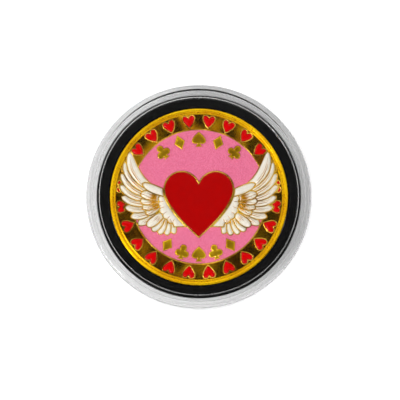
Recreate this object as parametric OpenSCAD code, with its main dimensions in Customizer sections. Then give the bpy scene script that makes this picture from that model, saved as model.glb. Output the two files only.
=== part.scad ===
/* [Coin] */
// Diameter of the coin over its rim
coin_d = 39; // [37:0.5:41]
// Thickness of the coin over its two rims
coin_t = 3.2; // [2.8:0.1:3.6]
// Depth of the enamel cells under the ridges
cell_depth = 0.3; // [0.2:0.05:0.4]
// Height of the rim over the ridges
rim_over_ridge = 0.1; // [0.05:0.05:0.2]
// Width of the ridge left between two feathers
feather_ridge = 0.2; // [0.16:0.02:0.24]
// How many small hearts stand round the border
border_hearts = 24; // [20:4:24]

/* [Foam ring] */
// Width of the foam between the coin and the capsule wall
foam_w = 2.65; // [2:0.05:4]

/* [Capsule] */
// Thickness of each clear window
window_t = 1.2; // [1:0.1:1.6]
// How far the rims stand over the windows
window_recess = 0.3; // [0.2:0.1:0.5]
// Thickness of the base's upright wall
spigot_t = 0.8; // [0.7:0.05:1.2]
// Thickness of the lid's skirt
skirt_t = 1.4; // [1.2:0.1:2]
// Radius of the capsule's rounded outer corners
corner_r = 0.9; // [0.5:0.1:1.1]

/* [Fits] */
// Radial clearance of the coin in the foam ring, and of the skirt on the spigot
slide_gap = 0.05; // [0.03:0.01:0.1]
// Free height over the coin and under it
coin_gap = 0.2; // [0.15:0.05:0.3]
// Free height over the foam ring and under it
foam_gap = 0.05; // [0.03:0.01:0.1]

/* [Hidden] */
$fn = 96;
FACES = ["obverse", "reverse"];
SIDES = ["left", "right"];
POURS = ["pink_enamel_upper", "pink_enamel_lower", "heart_enamel", "border_hearts_enamel"];
WING_ROWS = ["arm", "shoulder", "coverts", "tertials", "primaries"];

// Radii of the capsule, from the coin outwards
coin_r = coin_d / 2;
foam_in_r = coin_r + slide_gap;
foam_out_r = foam_in_r + foam_w;
spigot_in_r = foam_out_r + slide_gap;
spigot_out_r = spigot_in_r + spigot_t;
skirt_in_r = spigot_out_r + slide_gap;
capsule_r = skirt_in_r + skirt_t;
window_step = 0.65;
window_r = foam_out_r - window_step;

// Heights, from the table upwards
floor_top = window_recess + window_t;
coin_mid = floor_top + coin_gap + coin_t / 2;
ceiling = 2 * coin_mid - floor_top;
capsule_h = 2 * coin_mid;
flange_h = 0.4;
flange_top = floor_top + flange_h;
parting_gap = 0.1;
spigot_gap = 0.15;
spigot_top = ceiling - spigot_gap;
spigot_lead_in = 0.15;

// Levels on a face of the coin, over its middle plane
rim_z = coin_t / 2;
ridge_z = rim_z - rim_over_ridge;
floor_z = ridge_z - cell_depth;
pink_drop = 0.16;
red_drop = 0.09;
white_drop = 0.07;
pink_z = ridge_z - pink_drop;
red_z = ridge_z - red_drop;
white_z = ridge_z - white_drop;

// How far shapes that are joined run into each other
seat = 0.1;

// The artwork is drawn in millimetres for a 39 mm coin, and art scales it to this one
drawn_d = 39;
art = coin_d / drawn_d;
field_r = 18.45;
border_r = 14.95;
border_w = 0.33;
heart_ridge = 0.36;
pip_row_r = 12.6;
pip_size = 1.2;
small_ridge = 0.26;
small_heart_r = 16.6;
sliver = 0.07;
notch = 0.25;
round_fn = 60;

PINK = [0.94, 0.48, 0.63];
RED = [0.72, 0, 0];
IVORY = [0.98, 0.95, 0.86];
GOLD = [0.86, 0.66, 0.12];
BLACK = [0.06, 0.06, 0.07];
CLEAR = [0.85, 0.88, 0.9, 0.3];

// ---- curves ----

// A point of a quadratic curve from a to c, pulled towards b
function curve(a, b, c, t) = (1 - t) * (1 - t) * a + 2 * t * (1 - t) * b + t * t * c;

// Right half of a heart: a round lobe, then a side that runs to the tip
function half_heart(cx, cy, r, tip, pull, arc_steps, side_steps) = concat(
    [for (i = [0 : arc_steps])
        let (from = 180 - acos(cx / r), a = from * (1 - i / arc_steps))
        [cx + r * cos(a), cy + r * sin(a)]],
    [for (i = [1 : side_steps]) curve([cx + r, cy], [cx + r, cy - pull], [0, tip], i / side_steps)]
);

function heart_points(cx, cy, r, tip, pull, arc_steps = 5, side_steps = 3) =
    let (right = half_heart(cx, cy, r, tip, pull, arc_steps, side_steps), last = len(right) - 1)
    concat(right, [for (i = [last - 1 : -1 : 1]) [-right[i][0], right[i][1]]]);

// Half width of a feather along its length: narrow at the root, round at the tip
function vane(t, blunt) = t < 0.55
    ? 0.62 + 0.38 * sin(90 * t / 0.55)
    : pow(max(0, 1 - pow((t - 0.55) / 0.45, 2)), blunt);

// Outline of a feather whose spine bows sideways by bend at its middle
function feather_points(root, tip, width, bend, blunt = 0.6) =
    let (
        run = tip - root,
        side = [run[1], -run[0]] / norm(run),
        knee = (root + tip) / 2 + 2 * bend * side,
        steps = 7
    )
    [for (edge = [1, -1]) for (i = [0 : steps])
        let (
            t = 1 - pow(edge > 0 ? 1 - i / steps : i / steps, 1.6),
            way = 2 * (1 - t) * (knee - root) + 2 * t * (tip - knee),
            out = [way[1], -way[0]] / norm(way)
        )
        if (edge > 0 || i > 0)
            curve(root, knee, tip, t) + edge * width / 2 * vane(t, blunt) * out];

function polar(r, a) = [r * cos(a), r * sin(a)];

// ---- the wing's pieces, as [root, tip, width, bend, bluntness of the tip] ----

arm = [[6.4, 0.45], [12.2, 2.8], 1.65, 0.2, 0.45];
covert_hub = [7.2, -0.7];
tertial_hub = [7.1, -3.2];
scallop_hub = [3.4, -1.2];
function covert(i) = [
    covert_hub + polar(1, 13 - 17 * i),
    covert_hub + polar(5.6 - 0.12 * i, 13 - 17 * i),
    1.9,
    -0.12,
    0.5
];
function tertial(i) = [
    tertial_hub + polar(1.2, -38 - 18 * i),
    tertial_hub + polar(5.25, -38 - 18 * i),
    1.8 - 0.09 * i,
    0.1,
    0.45
];
function primary(i) = [
    [10.8, 2.1] + i / (PRIMARIES - 1) * [-1.3, -5.5],
    polar(17.95 - 0.07 * i * i, 33 - 8.3 * i),
    2.15 - 0.04 * i,
    1.2 - 0.16 * i,
    0.6
];

COVERTS = 4;
TERTIALS = 5;
PRIMARIES = 8;
SHOULDER = 1;
FIRST_COVERT = 2;
FIRST_TERTIAL = FIRST_COVERT + COVERTS;
FIRST_PRIMARY = FIRST_TERTIAL + TERTIALS;
PIECES = FIRST_PRIMARY + PRIMARIES;

// Which pieces, counted from the topmost one down, make a row of the wing
function row_pieces(row) =
    row == "arm" ? [0] :
    row == "shoulder" ? [SHOULDER] :
    row == "coverts" ? [FIRST_COVERT : FIRST_TERTIAL - 1] :
    row == "tertials" ? [FIRST_TERTIAL : FIRST_PRIMARY - 1] :
    [FIRST_PRIMARY : PIECES - 1];

function wing_piece(k) =
    k < FIRST_COVERT ? arm :
    k < FIRST_TERTIAL ? covert(k - FIRST_COVERT) :
    k < FIRST_PRIMARY ? tertial(k - FIRST_TERTIAL) :
    primary(k - FIRST_PRIMARY);

// ---- flat shapes of the artwork ----

module feather(f) polygon(feather_points(f[0], f[1], f[2], f[3], f[4]));

module big_heart() polygon(heart_points(3.7, 1.65, 4.05, -9.2, 3.9, 14, 9));

module small_heart() polygon(heart_points(0.72, 0.72, 0.8, -1.66, 0.95));

module shoulder() {
    translate(scallop_hub) {
        circle(r = 4.75, $fn = 36);
        for (i = [0 : 5]) rotate(9 - 16 * i) translate([4.65, 0]) circle(r = 0.76, $fn = 16);
    }
    translate([2.2, -6.55]) square([3.2, 1]);
}

module wing_shape(k) {
    if (k == SHOULDER) shoulder();
    else feather(wing_piece(k));
}

// What lies over piece k of a wing: the heart and the pieces above
module over(k) {
    big_heart();
    if (k > 0) for (j = [0 : k - 1]) wing_shape(j);
}

// The enamel cell of piece k, with its slivers taken off
module wing_cell(k) {
    offset(delta = sliver) offset(delta = -sliver) difference() {
        wing_shape(k);
        offset(delta = feather_ridge, chamfer = true) over(k);
    }
}

// Outline of the whole wing, with its narrow notches filled with gold
module wing_outline() {
    offset(delta = -notch) offset(r = feather_ridge + notch, $fn = 8)
        for (k = [0 : PIECES - 1]) wing_shape(k);
    translate([8.9, -3.7]) circle(r = 0.9, $fn = 16);
}

module both_sides() {
    children();
    mirror([1, 0]) children();
}

module border_heart(i)
    rotate((i + 0.5) * 360 / border_hearts) translate([0, small_heart_r]) small_heart();

// The enamel cells of the small hearts, less what the wings cover of them
module border_heart_cells() {
    offset(delta = sliver) offset(delta = -sliver) difference() {
        for (i = [0 : border_hearts - 1]) offset(delta = -small_ridge) border_heart(i);
        offset(delta = small_ridge) both_sides() wing_outline();
    }
}

module heart_cell() offset(delta = -heart_ridge) big_heart();

// Card suits 2.8 mm tall before pip_size, standing on the middle of their height
module diamond_pip() polygon([[0, 1.45], [1.05, 0], [0, -1.45], [-1.05, 0]]);

module pip_foot() polygon([[0, 0.3], [0.18, -0.6], [0.62, -1.4], [-0.62, -1.4], [-0.18, -0.6]]);

module club_pip() {
    for (p = [[0, 0.72], [-0.68, -0.32], [0.68, -0.32]]) translate(p) circle(r = 0.66, $fn = 12);
    circle(r = 0.4, $fn = 12);
    pip_foot();
}

module spade_pip() {
    translate([0, 0.1]) rotate(180) scale([1, 0.9]) polygon(heart_points(0.62, 0.4, 0.7, -1.5, 0.7));
    pip_foot();
}

// Five pips on an arc over the middle (side = 1) or under it (side = -1), all upright
module pip_row(side, step, kinds) {
    for (i = [0 : 4]) rotate(side * (2 - i) * step) translate([0, side * pip_row_r]) scale(pip_size) {
        if (kinds[i] == "diamond") diamond_pip();
        else if (kinds[i] == "club") club_pip();
        else spade_pip();
    }
}

module pips() {
    pip_row(1, 19.5, ["club", "diamond", "spade", "diamond", "club"]);
    pip_row(-1, 16.5, ["diamond", "club", "spade", "club", "diamond"]);
}

// Everything that stands over the floor of a face, before the enamel cells are cut into it
module raised_shapes() {
    offset(delta = 0) {
        difference() {
            circle(r = border_r, $fn = round_fn);
            circle(r = border_r - border_w, $fn = round_fn);
        }
        for (i = [0 : border_hearts - 1]) border_heart(i);
        both_sides() wing_outline();
        big_heart();
        pips();
    }
}

module pink_cell(upper) {
    offset(delta = sliver) offset(delta = -sliver) difference() {
        intersection() {
            circle(r = border_r - border_w, $fn = round_fn);
            translate([-border_r, upper ? 0 : -border_r]) square([2 * border_r, border_r]);
        }
        both_sides() wing_outline();
        big_heart();
        pips();
    }
}

// ---- solids ----

// Puts a shape drawn on the upper face of a coin at z = 0 onto the face named
module on_face(face) translate([0, 0, coin_mid]) rotate([0, face == "obverse" ? 0 : 180, 0]) children();

// Poured enamel from the cell's floor up to level
module pour(face, level, tint)
    color(tint) on_face(face) translate([0, 0, floor_z])
        linear_extrude(level - floor_z) scale([art, art]) children();

// Cuts a cell down to the floor of a face
module sunk(face)
    on_face(face) translate([0, 0, floor_z])
        linear_extrude(2 * cell_depth) scale([art, art]) children();

module coin_body() {
    color(GOLD) difference() {
        union() {
            translate([0, 0, coin_mid]) rotate_extrude() planchet_profile();
            for (f = FACES) on_face(f) translate([0, 0, floor_z - seat])
                linear_extrude(cell_depth + seat) scale([art, art]) raised_shapes();
        }
        for (f = FACES) {
            sunk(f) heart_cell();
            sunk(f) border_heart_cells();
            for (s = [0, 1]) for (k = [0 : PIECES - 1]) sunk(f) mirror([s, 0]) wing_cell(k);
        }
    }
}

// Half section of the struck blank: a thin web, and a rim with round shoulders
module planchet_profile() {
    shoulder_r = 0.25;
    rim_in = field_r * art;
    square_of([0, -floor_z], [rim_in + 2 * shoulder_r, floor_z]);
    square_of([rim_in + shoulder_r, -rim_z], [coin_r - shoulder_r, rim_z]);
    square_of([rim_in, shoulder_r - rim_z], [coin_r, rim_z - shoulder_r]);
    for (r = [rim_in + shoulder_r, coin_r - shoulder_r]) for (s = [1, -1])
        translate([r, s * (rim_z - shoulder_r)]) circle(r = shoulder_r);
}

module square_of(low, high) translate(low) square(high - low);

module foam_ring() {
    chamfer = 0.15;
    low = floor_top + foam_gap;
    high = ceiling - foam_gap;
    color(BLACK) rotate_extrude() polygon([
        [foam_in_r, low + chamfer], [foam_in_r + chamfer, low],
        [foam_out_r - chamfer, low], [foam_out_r, low + chamfer],
        [foam_out_r, high - chamfer], [foam_out_r - chamfer, high],
        [foam_in_r + chamfer, high], [foam_in_r, high - chamfer]
    ]);
}

// A half section of a capsule rim, from its window out to its rounded outer corner, foot down
module capsule_rim(top) {
    square_of([0, window_recess], [spigot_out_r, floor_top]);
    polygon([
        [window_r, window_recess], [window_r + window_recess / 2, 0], [capsule_r - corner_r, 0],
        [capsule_r - corner_r, top], [window_r, top]
    ]);
    square_of([capsule_r - corner_r - seat, corner_r], [capsule_r, top]);
    translate([capsule_r - corner_r, corner_r]) circle(r = corner_r);
}

module capsule_base() {
    color(CLEAR) rotate_extrude() {
        difference() {
            capsule_rim(flange_top);
            square_of([0, floor_top], [spigot_in_r, 2 * flange_top]);
        }
        polygon([
            [spigot_in_r, floor_top - seat], [spigot_out_r, floor_top - seat],
            [spigot_out_r, spigot_top - spigot_lead_in], [spigot_out_r - spigot_lead_in, spigot_top],
            [spigot_in_r + spigot_lead_in, spigot_top], [spigot_in_r, spigot_top - spigot_lead_in]
        ]);
    }
}

module capsule_lid() {
    color(CLEAR) rotate_extrude() translate([0, capsule_h]) mirror([0, 1]) {
        difference() {
            capsule_rim(capsule_h - flange_top - parting_gap);
            square_of([0, floor_top], [skirt_in_r, capsule_h]);
        }
    }
}

capsule_base();
capsule_lid();
foam_ring();
coin_body();
for (f = FACES) {
    pour(f, pink_z, PINK) pink_cell(true);
    pour(f, pink_z, PINK) pink_cell(false);
    pour(f, red_z, RED) heart_cell();
    pour(f, red_z, RED) border_heart_cells();
    for (s = SIDES) for (w = WING_ROWS)
        pour(f, white_z, IVORY) mirror([s == "left" ? 1 : 0, 0]) for (k = row_pieces(w)) wing_cell(k);
}
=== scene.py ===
"""An enamelled coin, centred by a foam ring in a clear capsule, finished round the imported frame."""
import math

import bmesh
import bpy
from mathutils import Matrix, Vector, noise
from mathutils.bvhtree import BVHTree
from mathutils.kdtree import KDTree


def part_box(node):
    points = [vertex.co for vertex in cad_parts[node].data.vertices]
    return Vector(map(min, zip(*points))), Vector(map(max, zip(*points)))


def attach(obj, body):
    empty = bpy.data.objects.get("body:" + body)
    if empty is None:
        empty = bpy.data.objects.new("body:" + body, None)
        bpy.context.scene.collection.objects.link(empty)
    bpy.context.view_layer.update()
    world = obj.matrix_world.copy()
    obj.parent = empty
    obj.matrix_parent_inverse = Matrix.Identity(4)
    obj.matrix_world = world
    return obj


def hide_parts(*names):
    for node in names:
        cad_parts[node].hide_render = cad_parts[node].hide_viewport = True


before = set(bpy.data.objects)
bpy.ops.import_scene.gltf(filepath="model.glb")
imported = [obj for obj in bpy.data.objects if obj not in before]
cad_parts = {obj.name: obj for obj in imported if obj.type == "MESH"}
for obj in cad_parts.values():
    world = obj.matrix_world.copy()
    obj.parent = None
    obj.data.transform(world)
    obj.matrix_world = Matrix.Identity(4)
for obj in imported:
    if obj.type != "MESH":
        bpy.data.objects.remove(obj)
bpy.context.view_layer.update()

MM = 0.001

# ---- sizes, from the frame where it has them ----

base_high = Vector(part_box("capsule_base")[1])
lid_low, lid_high = (Vector(corner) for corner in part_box("capsule_lid"))
foam_low, foam_high = (Vector(corner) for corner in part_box("foam_ring"))
coin_low, coin_high = (Vector(corner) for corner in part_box("coin_body"))
wing_low = Vector(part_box("obverse_right_wing_primaries")[0])

CAPSULE_R = base_high.x
CAPSULE_H = lid_high.z
COIN_R = coin_high.x
COIN_MID = (coin_low.z + coin_high.z) / 2
RIM_UP = (coin_high.z - coin_low.z) / 2
FOAM_R = foam_high.x
FIT = 0.05 * MM
FLOOR_TOP = foam_low.z - FIT
SPIGOT_IN = FOAM_R + FIT
SPIGOT_T = 0.8 * MM
SKIRT_IN = SPIGOT_IN + SPIGOT_T + FIT
LEAD_IN = 0.15 * MM
LEAD_H = 0.2 * MM
PARTING_GAP = 0.1 * MM
WINDOW_RECESS = 0.3 * MM
WINDOW_R = FOAM_R - 0.65 * MM
CORNER_R = 0.9 * MM
MOULD_LINE_R = CAPSULE_R - 1.4 * MM
MOULD_LINE_HALF = 0.16 * MM
MOULD_LINE_DEPTH = 0.08 * MM
MOULDED_EDGE = 0.06 * MM
RIDGE_DROP = 0.1 * MM
RIDGE_UP = RIM_UP - RIDGE_DROP
FIELD_UP = wing_low.z - COIN_MID
FIELD_R = 18.45 * MM
PIPS_FROM, PIPS_TO = 10.5 * MM, 14.55 * MM
TURN_STEPS = 192

# How near two points count as one, in a turned piece and in a sheet, and how near its level a sheet lies
TURN_WELD = 0.001 * MM
WELD = 0.0005 * MM
LEVEL_SLACK = 0.01 * MM

# ---- the wing's layout, in millimetres and degrees on the right wing of the obverse ----

PRIMARIES = 8
COVERTS = 4
TERTIALS = 5
SCALLOPS = 6
FIRST_ROOT = Vector((10.8, 2.1, 0))
LAST_ROOT = Vector((9.5, -3.4, 0))
WING_REACH, REACH_LOSS = 17.95, 0.07
PRIMARY_BOW, BOW_LOSS = 1.2, 0.16
LINE_CLOSING = 0.6
FIRST_PRIMARY, PRIMARY_TURN = 33, 8.3
FIRST_COVERT, COVERT_TURN = 13, 17
FIRST_TERTIAL, TERTIAL_TURN = -38, 18
FIRST_SCALLOP, SCALLOP_TURN = 1, 16
COVERT_HUB = (7.2, -0.7)
TERTIAL_HUB = (7.1, -3.2)
SCALLOP_HUB = (3.4, -1.2)

# Half widths of the gold lines on the feathers
SHAFT, VANE_LINE, COVERT_BARB, TERTIAL_BARB, SCALLOP_BARB = 0.045, 0.085, 0.085, 0.055, 0.06


def linear(code):
    """An sRGB hex colour as the linear one that a shader takes."""
    parts = [int(code[i:i + 2], 16) / 255 for i in (1, 3, 5)]
    return [c / 12.92 if c <= 0.04045 else ((c + 0.055) / 1.055) ** 2.4 for c in parts] + [1]


def per_mm(size):
    """The scale of a pattern whose features are size millimetres across."""
    return 1 / (size * MM)


# ---- materials ----

def add(tree, kind, inputs=None, **settings):
    """Adds a shader node, and sets or links its inputs."""
    made = tree.nodes.new("ShaderNode" + kind)
    for name, value in settings.items():
        setattr(made, name, value)
    for name, value in (inputs or {}).items():
        if isinstance(value, bpy.types.NodeSocket):
            tree.links.new(value, made.inputs[name])
        else:
            made.inputs[name].default_value = value
    return made


def ramp(tree, value, *stops):
    """A colour ramp through (position, hex colour or grey level) stops."""
    made = add(tree, "ValToRGB", {"Fac": value})
    elements = made.color_ramp.elements
    while len(elements) < len(stops):
        elements.new(0.5)
    for element, (place, tone) in zip(elements, stops):
        element.position = place
        element.color = linear(tone) if isinstance(tone, str) else (tone, tone, tone, 1)
    return made.outputs["Color"]


def start_material(name):
    """An empty material, with the place on the piece that its patterns are drawn by."""
    made = bpy.data.materials.new(name)
    made.use_nodes = True
    made.node_tree.nodes.clear()
    tree = made.node_tree
    place = add(tree, "TexCoord").outputs["Object"]
    return made, tree, place


def end_material(tree, surface):
    """Sends a finished surface to the output."""
    add(tree, "OutputMaterial", {"Surface": surface})


def cloud(tree, place, size, detail=3.0):
    """Soft noise with features size millimetres across."""
    return add(tree, "TexNoise", {
        "Vector": place, "Scale": per_mm(size), "Detail": detail, "Roughness": 0.55})


def gold_plate(name, bright, deep, smooth, dull, sway, peel_depth):
    """Polished gold plating over struck brass: a warm mirror, clouded by handling, with a fine orange peel.
    It goes from bright to deep in blotches, and from smooth to dull in a haze. sway and peel_depth are how
    far in millimetres its broad faces heave and its peel stands, which bend and blur what they mirror.
    The haze and the peel are drawn coarser than real ones, so that they show."""
    made, tree, place = start_material(name)
    blotch = cloud(tree, place, 5, detail=1).outputs["Fac"]
    tone = ramp(tree, blotch, (0.35, deep), (0.62, bright))
    haze = cloud(tree, place, 0.7, detail=2).outputs["Fac"]
    rough = add(tree, "MapRange", {
        "Value": haze, "From Min": 0.3, "From Max": 0.7, "To Min": smooth, "To Max": dull})
    peel = cloud(tree, place, 0.35, detail=2).outputs["Fac"]
    broad = cloud(tree, place, 7, detail=0).outputs["Fac"]
    heave = add(tree, "Bump", {"Height": broad, "Strength": 1.0, "Distance": sway * MM})
    bump = add(tree, "Bump", {"Height": peel, "Strength": 1.0, "Distance": peel_depth * MM,
                              "Normal": heave.outputs["Normal"]})
    shader = add(tree, "BsdfPrincipled", {
        "Base Color": tone, "Roughness": rough.outputs["Result"], "Metallic": 1.0,
        "Normal": bump.outputs["Normal"]})
    end_material(tree, shader.outputs["BSDF"])
    return made


def soft_enamel(name, light, deep, patch, gloss):
    """Soft enamel, a pigmented resin poured in and baked: a saturated colour under a wet gloss, a little
    deeper in patches, patch millimetres across. Its pigment grain is drawn coarser than the real one, so
    that it shows."""
    made, tree, place = start_material(name)
    depth = cloud(tree, place, patch, detail=4).outputs["Fac"]
    grain = cloud(tree, place, 0.22, detail=2).outputs["Fac"]
    mixed = add(tree, "Math", {0: depth, 1: grain}, operation="ADD")
    tone = ramp(tree, add(tree, "Math", {0: mixed.outputs[0], 1: 0.5}, operation="MULTIPLY").outputs[0],
                (0.38, deep), (0.6, light))
    bump = add(tree, "Bump", {"Height": grain, "Strength": 0.15, "Distance": 0.01 * MM})
    shader = add(tree, "BsdfPrincipled", {
        "Base Color": tone, "Roughness": 0.14, "IOR": 1.5, "Specular IOR Level": gloss,
        "Normal": bump.outputs["Normal"]})
    end_material(tree, shader.outputs["BSDF"])
    return made


def closed_cell_foam(name):
    """Die-cut closed-cell foam: near black and dull, pricked all over by cells that the knife opened. Each
    pit is painted darker towards its middle: painted shade.
    """
    made, tree, place = start_material(name)
    cells = add(tree, "TexVoronoi", {"Vector": place, "Scale": per_mm(0.22)}).outputs["Distance"]
    # Painted shade: each opened cell is coloured darkest at its middle, where its pit is deepest
    tone = ramp(tree, cells, (0.05, "#020202"), (0.55, "#080808"))
    bump = add(tree, "Bump", {"Height": cells, "Strength": 0.5, "Distance": 0.05 * MM})
    shader = add(tree, "BsdfPrincipled", {
        "Base Color": tone, "Roughness": 0.8, "IOR": 1.45, "Specular IOR Level": 0.15,
        "Normal": bump.outputs["Normal"]})
    end_material(tree, shader.outputs["BSDF"])
    return made


def clear_acrylic(name):
    """Injection-moulded acrylic: clear and polished, with the slow waviness of a moulded face. A faint smoke
    in it greys the thick rim and hardly touches the window. Lights reach what lies under it unbent."""
    made, tree, place = start_material(name)
    wave = cloud(tree, place, 4.0, detail=1).outputs["Fac"]
    bump = add(tree, "Bump", {"Height": wave, "Strength": 0.05, "Distance": 0.02 * MM})
    clear = add(tree, "BsdfPrincipled", {
        "Base Color": linear("#F9F9F9"), "Roughness": 0.0, "IOR": 1.49, "Transmission Weight": 1.0,
        "Normal": bump.outputs["Normal"]})
    through = add(tree, "BsdfTransparent", {"Color": linear("#FBFBFB")})
    ray = add(tree, "LightPath").outputs["Is Shadow Ray"]
    both = add(tree, "MixShader", {"Fac": ray, 1: clear.outputs["BSDF"], 2: through.outputs["BSDF"]})
    smoke = add(tree, "VolumeAbsorption", {"Color": linear("#BCBCBC"), "Density": 36.0})
    add(tree, "OutputMaterial", {"Surface": both.outputs["Shader"], "Volume": smoke.outputs["Volume"]})
    return made


def opal_sheet(name):
    """The table top: a sheet of matt opal acrylic, lit a little from below, and hardly mottled."""
    made, tree, place = start_material(name)
    tone = ramp(tree, cloud(tree, place, 6).outputs["Fac"], (0.3, "#F4F4F4"), (0.7, "#F8F8F8"))
    shader = add(tree, "BsdfPrincipled", {
        "Base Color": tone, "Roughness": 0.9, "Emission Color": (1, 1, 1, 1), "Emission Strength": 0.26})
    end_material(tree, shader.outputs["BSDF"])
    return made


# Rubbed by fingers to a broad yellow sheen
RIM_GOLD = gold_plate("polished_gold_plate", "#F2C00C", "#E6AA08", 0.24, 0.34, 0.02, 0.0008)
# Narrow relief, pale gold with brown patches
RIDGE_GOLD = gold_plate("struck_gold_plate", "#F6CE58", "#94691A", 0.12, 0.22, 0.02, 0.001)
# A redder gold, so that the fine lines stand out from the ivory
LINE_GOLD = gold_plate("engraved_gold_plate", "#EEB02A", "#B67A16", 0.16, 0.26, 0.02, 0.001)
# Satin, so that it stays olive where a mirror would show the dark overhead
PIP_GOLD = gold_plate("satin_gold_plate", "#E8BC1E", "#B88A10", 0.3, 0.4, 0.02, 0.002)
# As smooth as the die, with enough heave to break its picture of the room into patches
FIELD_GOLD = gold_plate("mirror_gold_plate", "#EAB60A", "#CC8A05", 0.1, 0.17, 1.8, 0.001)
# The big heart: a dark, nearly even red
RED = soft_enamel("red_soft_enamel", "#BE0000", "#B40000", 1.2, 0.15)
# The border hearts: a brighter red
BRIGHT_RED = soft_enamel("bright_red_soft_enamel", "#E80000", "#D40000", 0.8, 0.15)
# Red let down with white: milky and finely mottled
PINK = soft_enamel("pink_soft_enamel", "#FF8CB0", "#F07096", 0.3, 0.3)
# Warm white, the glossiest, a little yellower in patches
IVORY = soft_enamel("ivory_soft_enamel", "#FFFBF0", "#FAF2DE", 0.9, 0.4)
FOAM = closed_cell_foam("black_closed_cell_foam")
ACRYLIC = clear_acrylic("clear_moulded_acrylic")


# ---- mesh helpers ----

def finish_piece(name, bm, material, body, stands_for, crease=35):
    """Makes a mesh piece, shades it smooth between creases, and sets it on its body."""
    mesh = bpy.data.meshes.new(name)
    bm.to_mesh(mesh)
    bm.free()
    mesh.materials.append(material)
    mesh.shade_smooth()
    mesh.set_sharp_from_angle(angle=math.radians(crease))
    piece = bpy.data.objects.new(name, mesh)
    bpy.context.scene.collection.objects.link(piece)
    if stands_for:
        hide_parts(*stands_for)
    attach(piece, body)
    return piece


def supported(profile, closed):
    """Adds a point near both ends of each long run, so that smooth shading stays in the corners."""
    margin = 0.12 * MM
    points = []
    for start, end in zip(profile, profile[1:] + (profile[:1] if closed else [])):
        run = Vector(end) - Vector(start)
        points.append(start)
        if run.length > 4 * margin:
            step = run.normalized() * margin
            points += [Vector(start) + step, Vector(end) - step]
    return points if closed else points + profile[-1:]


def turned(profile, closed=True):
    """Spins a half section of (radius, height) points about the vertical axis."""
    profile = supported(profile, closed)
    bm = bmesh.new()
    verts = [bm.verts.new((r, 0, z)) for r, z in profile]
    pairs = list(zip(verts, verts[1:]))
    if closed:
        pairs.append((verts[-1], verts[0]))
    edges = [bm.edges.new(pair) for pair in pairs]
    bmesh.ops.spin(bm, geom=verts + edges, cent=(0, 0, 0), axis=(0, 0, 1), angle=math.tau,
                   steps=TURN_STEPS, use_merge=True)
    bmesh.ops.remove_doubles(bm, verts=bm.verts[:], dist=TURN_WELD)
    bmesh.ops.recalc_face_normals(bm, faces=bm.faces[:])
    return bm


def bevel_sharp(bm, width):
    """Rounds every edge that turns more than 30 degrees."""
    least = math.radians(30)
    sharp = [e for e in bm.edges if len(e.link_faces) == 2 and e.calc_face_angle() > least]
    bmesh.ops.bevel(bm, geom=sharp, offset=width, affect="EDGES", segments=2, profile=0.5, material=-1,
                    clamp_overlap=True)


def arc(centre, radius, start, end, steps):
    """Points of a quarter or other arc in the half section's plane, in degrees."""
    turn = [math.radians(start + (end - start) * i / steps) for i in range(steps + 1)]
    return [(centre[0] + radius * math.cos(a), centre[1] + radius * math.sin(a)) for a in turn]


# ---- capsule ----

def shell_outside(top):
    """The half section shared by both shells, foot down: window, rim with its mould line, rounded corner."""
    corner = arc((CAPSULE_R - CORNER_R, CORNER_R), CORNER_R, -90, 0, 8)
    mould_line = [(MOULD_LINE_R - MOULD_LINE_HALF, 0), (MOULD_LINE_R, MOULD_LINE_DEPTH),
                  (MOULD_LINE_R + MOULD_LINE_HALF, 0)]
    window = [(0, WINDOW_RECESS), (WINDOW_R, WINDOW_RECESS), (WINDOW_R + WINDOW_RECESS / 2, 0)]
    return window + mould_line + corner + [(CAPSULE_R, top)]


def capsule_base():
    """Window, flange, and the upright spigot that the lid pushes down on, with a lead-in at its top."""
    flange_top = lid_low.z - PARTING_GAP
    spigot_out = SPIGOT_IN + SPIGOT_T
    top = base_high.z
    section = shell_outside(flange_top) + [
        (spigot_out, flange_top), (spigot_out, top - LEAD_H), (spigot_out - LEAD_IN, top),
        (SPIGOT_IN + LEAD_IN, top), (SPIGOT_IN, top - LEAD_H), (SPIGOT_IN, FLOOR_TOP), (0, FLOOR_TOP)]
    bm = turned(section, closed=False)
    bevel_sharp(bm, MOULDED_EDGE)
    finish_piece("base_shell", bm, ACRYLIC, "base", ["capsule_base"])


def capsule_lid():
    """Window and skirt. The section is drawn foot down, as the base's is, and turned over."""
    skirt = CAPSULE_H - lid_low.z
    section = shell_outside(skirt) + [(SKIRT_IN, skirt), (SKIRT_IN, FLOOR_TOP), (0, FLOOR_TOP)]
    bm = turned([(r, CAPSULE_H - z) for r, z in section], closed=False)
    bevel_sharp(bm, MOULDED_EDGE)
    finish_piece("lid_shell", bm, ACRYLIC, "lid", ["capsule_lid"])


def foam_ring():
    """The foam insert, with its cut edges a little soft and its faces not quite flat."""
    inner = COIN_R + FIT
    soft = 0.2 * MM
    dent_size, dent_depth = 2.5, 0.04 * MM
    low, high = foam_low.z, foam_high.z
    section = arc((FOAM_R - soft, low + soft), soft, -90, 0, 3)
    section += arc((FOAM_R - soft, high - soft), soft, 0, 90, 3)
    section += [(inner + (FOAM_R - inner) * share, high) for share in (0.7, 0.5, 0.3)]
    section += arc((inner + soft, high - soft), soft, 90, 180, 3)
    section += arc((inner + soft, low + soft), soft, 180, 270, 3)
    bm = turned(section)
    for vert in bm.verts:
        dent = noise.noise(vert.co * per_mm(dent_size)) * 0.5 - 0.5
        vert.co.z += dent * dent_depth * (1 if vert.co.z > COIN_MID else -1)
    piece = finish_piece("foam_insert", bm, FOAM, "ring", ["foam_ring"])


# ---- coin ----

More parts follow.
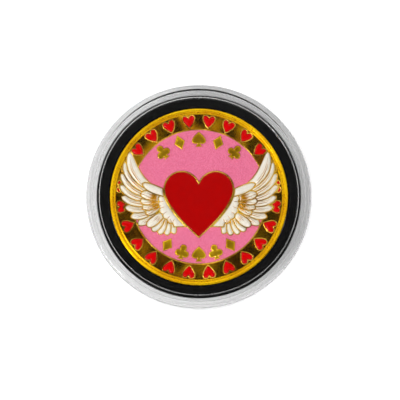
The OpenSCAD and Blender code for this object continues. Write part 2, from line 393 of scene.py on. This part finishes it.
def coin_blank():
    """The struck blank: a mirror field, a raised, rounded rim, and a fine bead inside it on each face."""
    bead, bead_in = 0.16 * MM, 0.14 * MM
    foot, foot_up, wall = 0.06 * MM, 0.08 * MM, 0.12 * MM
    shoulder, swell = 0.3 * MM, 0.06 * MM
    crest = (FIELD_R + COIN_R) / 2 + 0.05 * MM
    upper = [(0, FIELD_UP), (FIELD_R - bead_in - bead, FIELD_UP)]
    upper += arc((FIELD_R - bead_in, FIELD_UP), bead, 180, 40, 5)
    upper += [(FIELD_R + foot, FIELD_UP + foot_up), (FIELD_R + wall, RIM_UP - shoulder)]
    upper += arc((FIELD_R + wall + shoulder, RIM_UP - shoulder - swell), shoulder, 150, 95, 5)
    upper += [(crest, RIM_UP)]
    upper += arc((COIN_R - shoulder, RIM_UP - shoulder - swell), shoulder, 85, 0, 6)
    lower = [(r, -z) for r, z in reversed(upper)]
    bm = turned([(r, COIN_MID + z) for r, z in upper + lower], closed=False)
    return finish_piece("coin_blank", bm, FIELD_GOLD, "coin", ["coin_body"])


def paint_rim(piece):
    """The rim, its bead and its edge have a polish of their own."""
    bead_foot = FIELD_R - 0.31 * MM
    piece.data.materials.append(RIM_GOLD)
    for face in piece.data.polygons:
        if math.hypot(face.center.x, face.center.y) > bead_foot:
            face.material_index = 1


def flat_region(node, level):
    """The part of a node's mesh that lies flat at a level and faces up, as one merged sheet."""
    bm = bmesh.new()
    bm.from_mesh(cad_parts[node].data)
    bmesh.ops.remove_doubles(bm, verts=bm.verts[:], dist=WELD)
    bm.normal_update()
    stray = [f for f in bm.faces
             if f.normal.z < 0.99 or abs(f.calc_center_median().z - level) > LEVEL_SLACK]
    bmesh.ops.delete(bm, geom=stray, context="FACES")
    return bm


def close_below(bm, floor):
    """Gives a sheet walls down to floor and a bottom."""
    grown = bmesh.ops.extrude_face_region(bm, geom=bm.faces[:])
    for vert in grown["geom"]:
        if isinstance(vert, bmesh.types.BMVert):
            vert.co.z = floor
    bmesh.ops.recalc_face_normals(bm, faces=bm.faces[:])


def sliced(bm, step):
    """Cuts a sheet by a square grid, so that it can be modelled in height."""
    snap = 0.002 * MM
    for axis in (0, 1):
        places = [v.co[axis] for v in bm.verts]
        normal = Vector((1, 0, 0)) if axis == 0 else Vector((0, 1, 0))
        count = int((max(places) - min(places)) / step)
        for i in range(1, count + 1):
            everything = bm.verts[:] + bm.edges[:] + bm.faces[:]
            bmesh.ops.bisect_plane(bm, geom=everything, plane_co=normal * (min(places) + i * step),
                                   plane_no=normal, dist=snap)


def edge_samples(bm, spacing):
    """A search tree of points along the sheet's border."""
    points = []
    for edge in bm.edges:
        if edge.is_boundary:
            a, b = (v.co for v in edge.verts)
            count = max(1, int((a - b).length / spacing))
            points += [a.lerp(b, i / count) for i in range(count)]
    tree = KDTree(len(points))
    for i, point in enumerate(points):
        tree.insert(point, i)
    tree.balance()
    return tree


def crown(bm, sink, swells, step):
    """Lowers a sheet's border by sink, and raises the rest in smooth swells, each a (height, reach) from the
    border inwards. step is the grid that it is modelled on."""
    border = edge_samples(bm, spacing=0.04 * MM)
    sliced(bm, step)
    for vert in bm.verts:
        inward = 0 if vert.is_boundary else border.find(vert.co)[2]
        vert.co.z += sum(height * (1 - (1 - min(1, inward / reach)) ** 2) for height, reach in swells) - sink


def both_faces(name, bm, material, node=None):
    """Sets a piece on the obverse, and a copy on the reverse, turned over about the upright of the design."""
    other = bm.copy()
    over = Matrix.Rotation(math.pi, 3, "Y")
    bmesh.ops.rotate(other, verts=other.verts[:], cent=(0, 0, COIN_MID), matrix=over)
    pieces = []
    for face, made in (("obverse_", bm), ("reverse_", other)):
        stands_for = [face + node] if node else []
        pieces.append(finish_piece(face + name, made, material, "coin", stands_for, crease=60))
    return pieces[0]


def struck_ridges():
    """The ridges, outlines and pips of a face, with their top edges rounded as a die leaves them. The pips'
    tops are satin, their edges as bright as the ridges. All run a little into the field, to leave no gap."""
    edge_swell, top_swell = (0.1 * MM, 0.13 * MM), (0.12 * MM, 0.9 * MM)
    sunk_foot, nearly_flat = 0.02 * MM, 0.93
    bm = flat_region("coin_body", COIN_MID + RIDGE_UP)
    crown(bm, 0.12 * MM, (edge_swell, top_swell), 0.108 * MM)
    close_below(bm, COIN_MID + FIELD_UP - sunk_foot)
    bm.normal_update()
    for face in bm.faces:
        middle = face.calc_center_median().xy
        among_pips = PIPS_FROM < middle.length < PIPS_TO and abs(middle.y) > abs(middle.x)
        if among_pips and face.normal.z > nearly_flat:
            face.material_index = 1
    both_faces("ridges", bm, RIDGE_GOLD)
    for face in ("obverse_", "reverse_"):
        bpy.data.objects[face + "ridges"].data.materials.append(PIP_GOLD)


def poured_enamel(name, sink, swells, step, material, slot):
    """One colour's cells as they were poured, each a little under its ridges, and crowned or dished."""
    low, high = (Vector(corner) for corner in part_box("obverse_" + name))
    bm = flat_region("obverse_" + name, high.z)
    crown(bm, sink, swells, step)
    close_below(bm, low.z)
    return both_faces(name + "_pour", bm, material, name)


# ---- the wings' fine lines ----

def polar(hub, radius, angle):
    """The point at a radius and an angle in degrees from a hub."""
    turn = math.radians(angle)
    return Vector((hub[0] + radius * math.cos(turn), hub[1] + radius * math.sin(turn), 0))


def primary_line(i, aside, first, last):
    """Points along a primary feather, beside its middle line, between two shares of its length."""
    root = FIRST_ROOT.lerp(LAST_ROOT, i / (PRIMARIES - 1))
    tip = polar((0, 0), WING_REACH - REACH_LOSS * i * i, FIRST_PRIMARY - PRIMARY_TURN * i)
    run = tip - root
    side = Vector((run.y, -run.x, 0)).normalized()
    knee = (root + tip) / 2 + side * 2 * (PRIMARY_BOW - BOW_LOSS * i)
    steps = 14
    points = []
    for n in range(steps + 1):
        t = first + (last - first) * n / steps
        middle = root * (1 - t) ** 2 + knee * 2 * t * (1 - t) + tip * t * t
        points.append(middle + side * aside * (1 - LINE_CLOSING * t))
    return points


def straight_line(start, end):
    """Eight evenly spaced points, enough for a line to follow the enamel under it."""
    return [start.lerp(end, n / 7) for n in range(8)]


def wing_lines():
    """The centre line and the half width of each fine gold line: shafts and vane lines on the primaries, fans
    of barbs at the roots of the coverts and tertials, and short nicks between the scallops."""
    lines = [(primary_line(i, 0.15, 0.12, 0.88), SHAFT) for i in range(PRIMARIES)]
    lines += [(primary_line(i, 0.62, 0.06, 0.74), VANE_LINE) for i in range(PRIMARIES)]
    for i in range(COVERTS):
        angle = FIRST_COVERT - COVERT_TURN * i
        for n, spread in enumerate((-11, -7.5, -4, -0.5, 3, 6.5, 10)):
            start = polar(COVERT_HUB, 1.7, angle + spread)
            end = polar(COVERT_HUB, 3.4 + 0.5 * (n % 3), angle + 0.9 * spread)
            lines.append((straight_line(start, end), COVERT_BARB))
    for i in range(TERTIALS):
        angle = FIRST_TERTIAL - TERTIAL_TURN * i
        for n, spread in enumerate((-7, 0, 7)):
            start = polar(TERTIAL_HUB, 1.9, angle + spread)
            end = polar(TERTIAL_HUB, 3.1 + 0.4 * (n % 2), angle + 0.8 * spread)
            lines.append((straight_line(start, end), TERTIAL_BARB))
    for i in range(SCALLOPS - 1):
        angle = FIRST_SCALLOP - SCALLOP_TURN * i
        nick = straight_line(polar(SCALLOP_HUB, 5.15, angle), polar(SCALLOP_HUB, 4.2, angle))
        lines.append((nick, SCALLOP_BARB))
    return lines


def gold_lines(side, ground):
    """Fine gold lines dropped on to the enamel of one wing, half sunk in it and tapered at both ends."""
    curve = bpy.data.curves.new(side, "CURVE")
    curve.dimensions = "3D"
    curve.bevel_depth = 1.0
    curve.bevel_resolution = 2
    curve.use_fill_caps = True
    mirror = -1 if side == "left" else 1
    drop_from = coin_high.z + 1 * MM
    for points, width in wing_lines():
        laid = []
        for n, point in enumerate(points):
            start = Vector((point.x * mirror * MM, point.y * MM, drop_from))
            hit = ground.ray_cast(start, Vector((0, 0, -1)), 2 * MM)[0]
            if hit is not None:
                taper = 0.35 + 0.65 * math.sin(math.pi * n / (len(points) - 1))
                laid.append((hit, width * MM * taper))
        if len(laid) > 2:
            spline = curve.splines.new("POLY")
            spline.points.add(len(laid) - 1)
            for spot, (place, radius) in zip(spline.points, laid):
                spot.co = (*place, 1)
                spot.radius = radius
    holder = bpy.data.objects.new(side, curve)
    bpy.context.scene.collection.objects.link(holder)
    bpy.context.view_layer.update()
    mesh = bpy.data.meshes.new_from_object(holder)
    bpy.data.objects.remove(holder)
    bm = bmesh.new()
    bm.from_mesh(mesh)
    bmesh.ops.recalc_face_normals(bm, faces=bm.faces[:])
    both_faces(side + "_wing_lines", bm, LINE_GOLD)


def search_tree(pieces):
    """One search tree over the surfaces of several pieces."""
    verts, faces = [], []
    for piece in pieces:
        first = len(verts)
        verts += [v.co.copy() for v in piece.data.vertices]
        faces += [[first + i for i in p.vertices] for p in piece.data.polygons]
    return BVHTree.FromPolygons(verts, faces)


def coin_art():
    """Ridges, then each colour. Pink is dished as thin resin dries, hearts and feathers stand crowned.
    Each pour is how far its border sinks, its swells, the grid that it is modelled on, and its finish."""
    struck_ridges()
    dished = (0, [(-0.03 * MM, 0.5 * MM)], 0.5 * MM, PINK, "pink_enamel")
    poured_enamel("pink_enamel_upper", *dished)
    poured_enamel("pink_enamel_lower", *dished)
    poured_enamel("heart_enamel", 0.04 * MM, [(0.07 * MM, 0.7 * MM)], 0.3 * MM, RED, "red_enamel")
    beaded = (0.12 * MM, [(0.1 * MM, 0.2 * MM), (0.14 * MM, 0.5 * MM)], 0.16 * MM, BRIGHT_RED, "red_enamel")
    poured_enamel("border_hearts_enamel", *beaded)
    pillow = (0.2 * MM, [(0.16 * MM, 0.25 * MM), (0.18 * MM, 0.8 * MM)], 0.2 * MM, IVORY, "ivory_enamel")
    rows = ("arm", "shoulder", "coverts", "tertials", "primaries")
    for side in ("left", "right"):
        feathers = [poured_enamel(f"{side}_wing_{row}", *pillow) for row in rows]
        gold_lines(side, search_tree(feathers))


# ---- studio ----

def table_top():
    """The floor, a hair under the capsule so that the two faces don't coincide."""
    half_width, drop = 3, 0.02 * MM
    bm = bmesh.new()
    bmesh.ops.create_grid(bm, x_segments=1, y_segments=1, size=half_width)
    bmesh.ops.translate(bm, verts=bm.verts[:], vec=(0, 0, -drop))
    mesh = bpy.data.meshes.new("table_top")
    bm.to_mesh(mesh)
    bm.free()
    mesh.materials.append(opal_sheet("white_opal_acrylic"))
    board = bpy.data.objects.new("table_top", mesh)
    bpy.context.scene.collection.objects.link(board)


def bright_walls_dark_ceiling():
    """A white tent with a dark opening overhead, so that flat polished metal shows dark and its edges bright.
    The tent is a little brighter at the front left."""
    world = bpy.data.worlds.new("light_tent")
    world.use_nodes = True
    tree = world.node_tree
    tree.nodes.clear()
    way = add(tree, "TexCoord").outputs["Generated"]
    height = add(tree, "SeparateXYZ", {"Vector": way}).outputs["Z"]
    # Brightness by height, from the horizon to straight overhead
    tone = ramp(tree, height, (0.0, 0.75), (0.06, 0.7), (0.14, 0.3), (0.42, 0.34), (0.56, 1.0), (0.8, 0.95),
                (0.9, 0.22), (0.96, 0.036), (1.0, 0.009))
    lean = add(tree, "VectorMath", {0: way, 1: (-0.6, -0.8, 0)}, operation="DOT_PRODUCT").outputs["Value"]
    level = add(tree, "MapRange", {
        "Value": lean, "From Min": -1, "From Max": 1, "To Min": 1.75, "To Max": 2.1})
    lit = add(tree, "Background", {"Color": tone, "Strength": level.outputs["Result"]})
    add(tree, "OutputWorld", {"Surface": lit.outputs["Background"]})
    bpy.context.scene.world = world


def soft_light(name, azimuth, elevation, distance, size, power):
    """A square softbox that looks at the coin. Its azimuth runs clockwise from the top of the design."""
    lamp = bpy.data.lights.new(name, "AREA")
    lamp.size = size
    lamp.energy = power
    place = bpy.data.objects.new(name, lamp)
    around, over = math.radians(azimuth), math.radians(elevation)
    way = Vector((math.sin(around) * math.cos(over), math.cos(around) * math.cos(over), math.sin(over)))
    place.location = way * distance
    place.rotation_euler = (-way).to_track_quat("-Z", "Y").to_euler()
    bpy.context.scene.collection.objects.link(place)


def camera():
    """Nearly overhead, a little to the south, from half a metre."""
    distance = 0.5
    tilt = math.radians(83)
    aim = Vector((0.25 * MM, -0.55 * MM, CAPSULE_H / 2))
    eye = bpy.data.cameras.new("camera")
    eye.sensor_width = 36
    eye.lens = 205.8
    eye.clip_start = 0.01
    place = bpy.data.objects.new("camera", eye)
    way = Vector((0, -math.cos(tilt), math.sin(tilt)))
    place.location = aim + way * distance
    place.rotation_euler = (-way).to_track_quat("-Z", "Y").to_euler()
    bpy.context.scene.collection.objects.link(place)
    bpy.context.scene.camera = place


def studio():
    """Floor, tent, one softbox and the camera."""
    table_top()
    bright_walls_dark_ceiling()
    soft_light("key", azimuth=-120, elevation=40, distance=0.6, size=0.18, power=0.9)
    camera()
    bpy.context.scene.view_settings.view_transform = "Standard"


capsule_base()
capsule_lid()
foam_ring()
paint_rim(coin_blank())
coin_art()
studio()
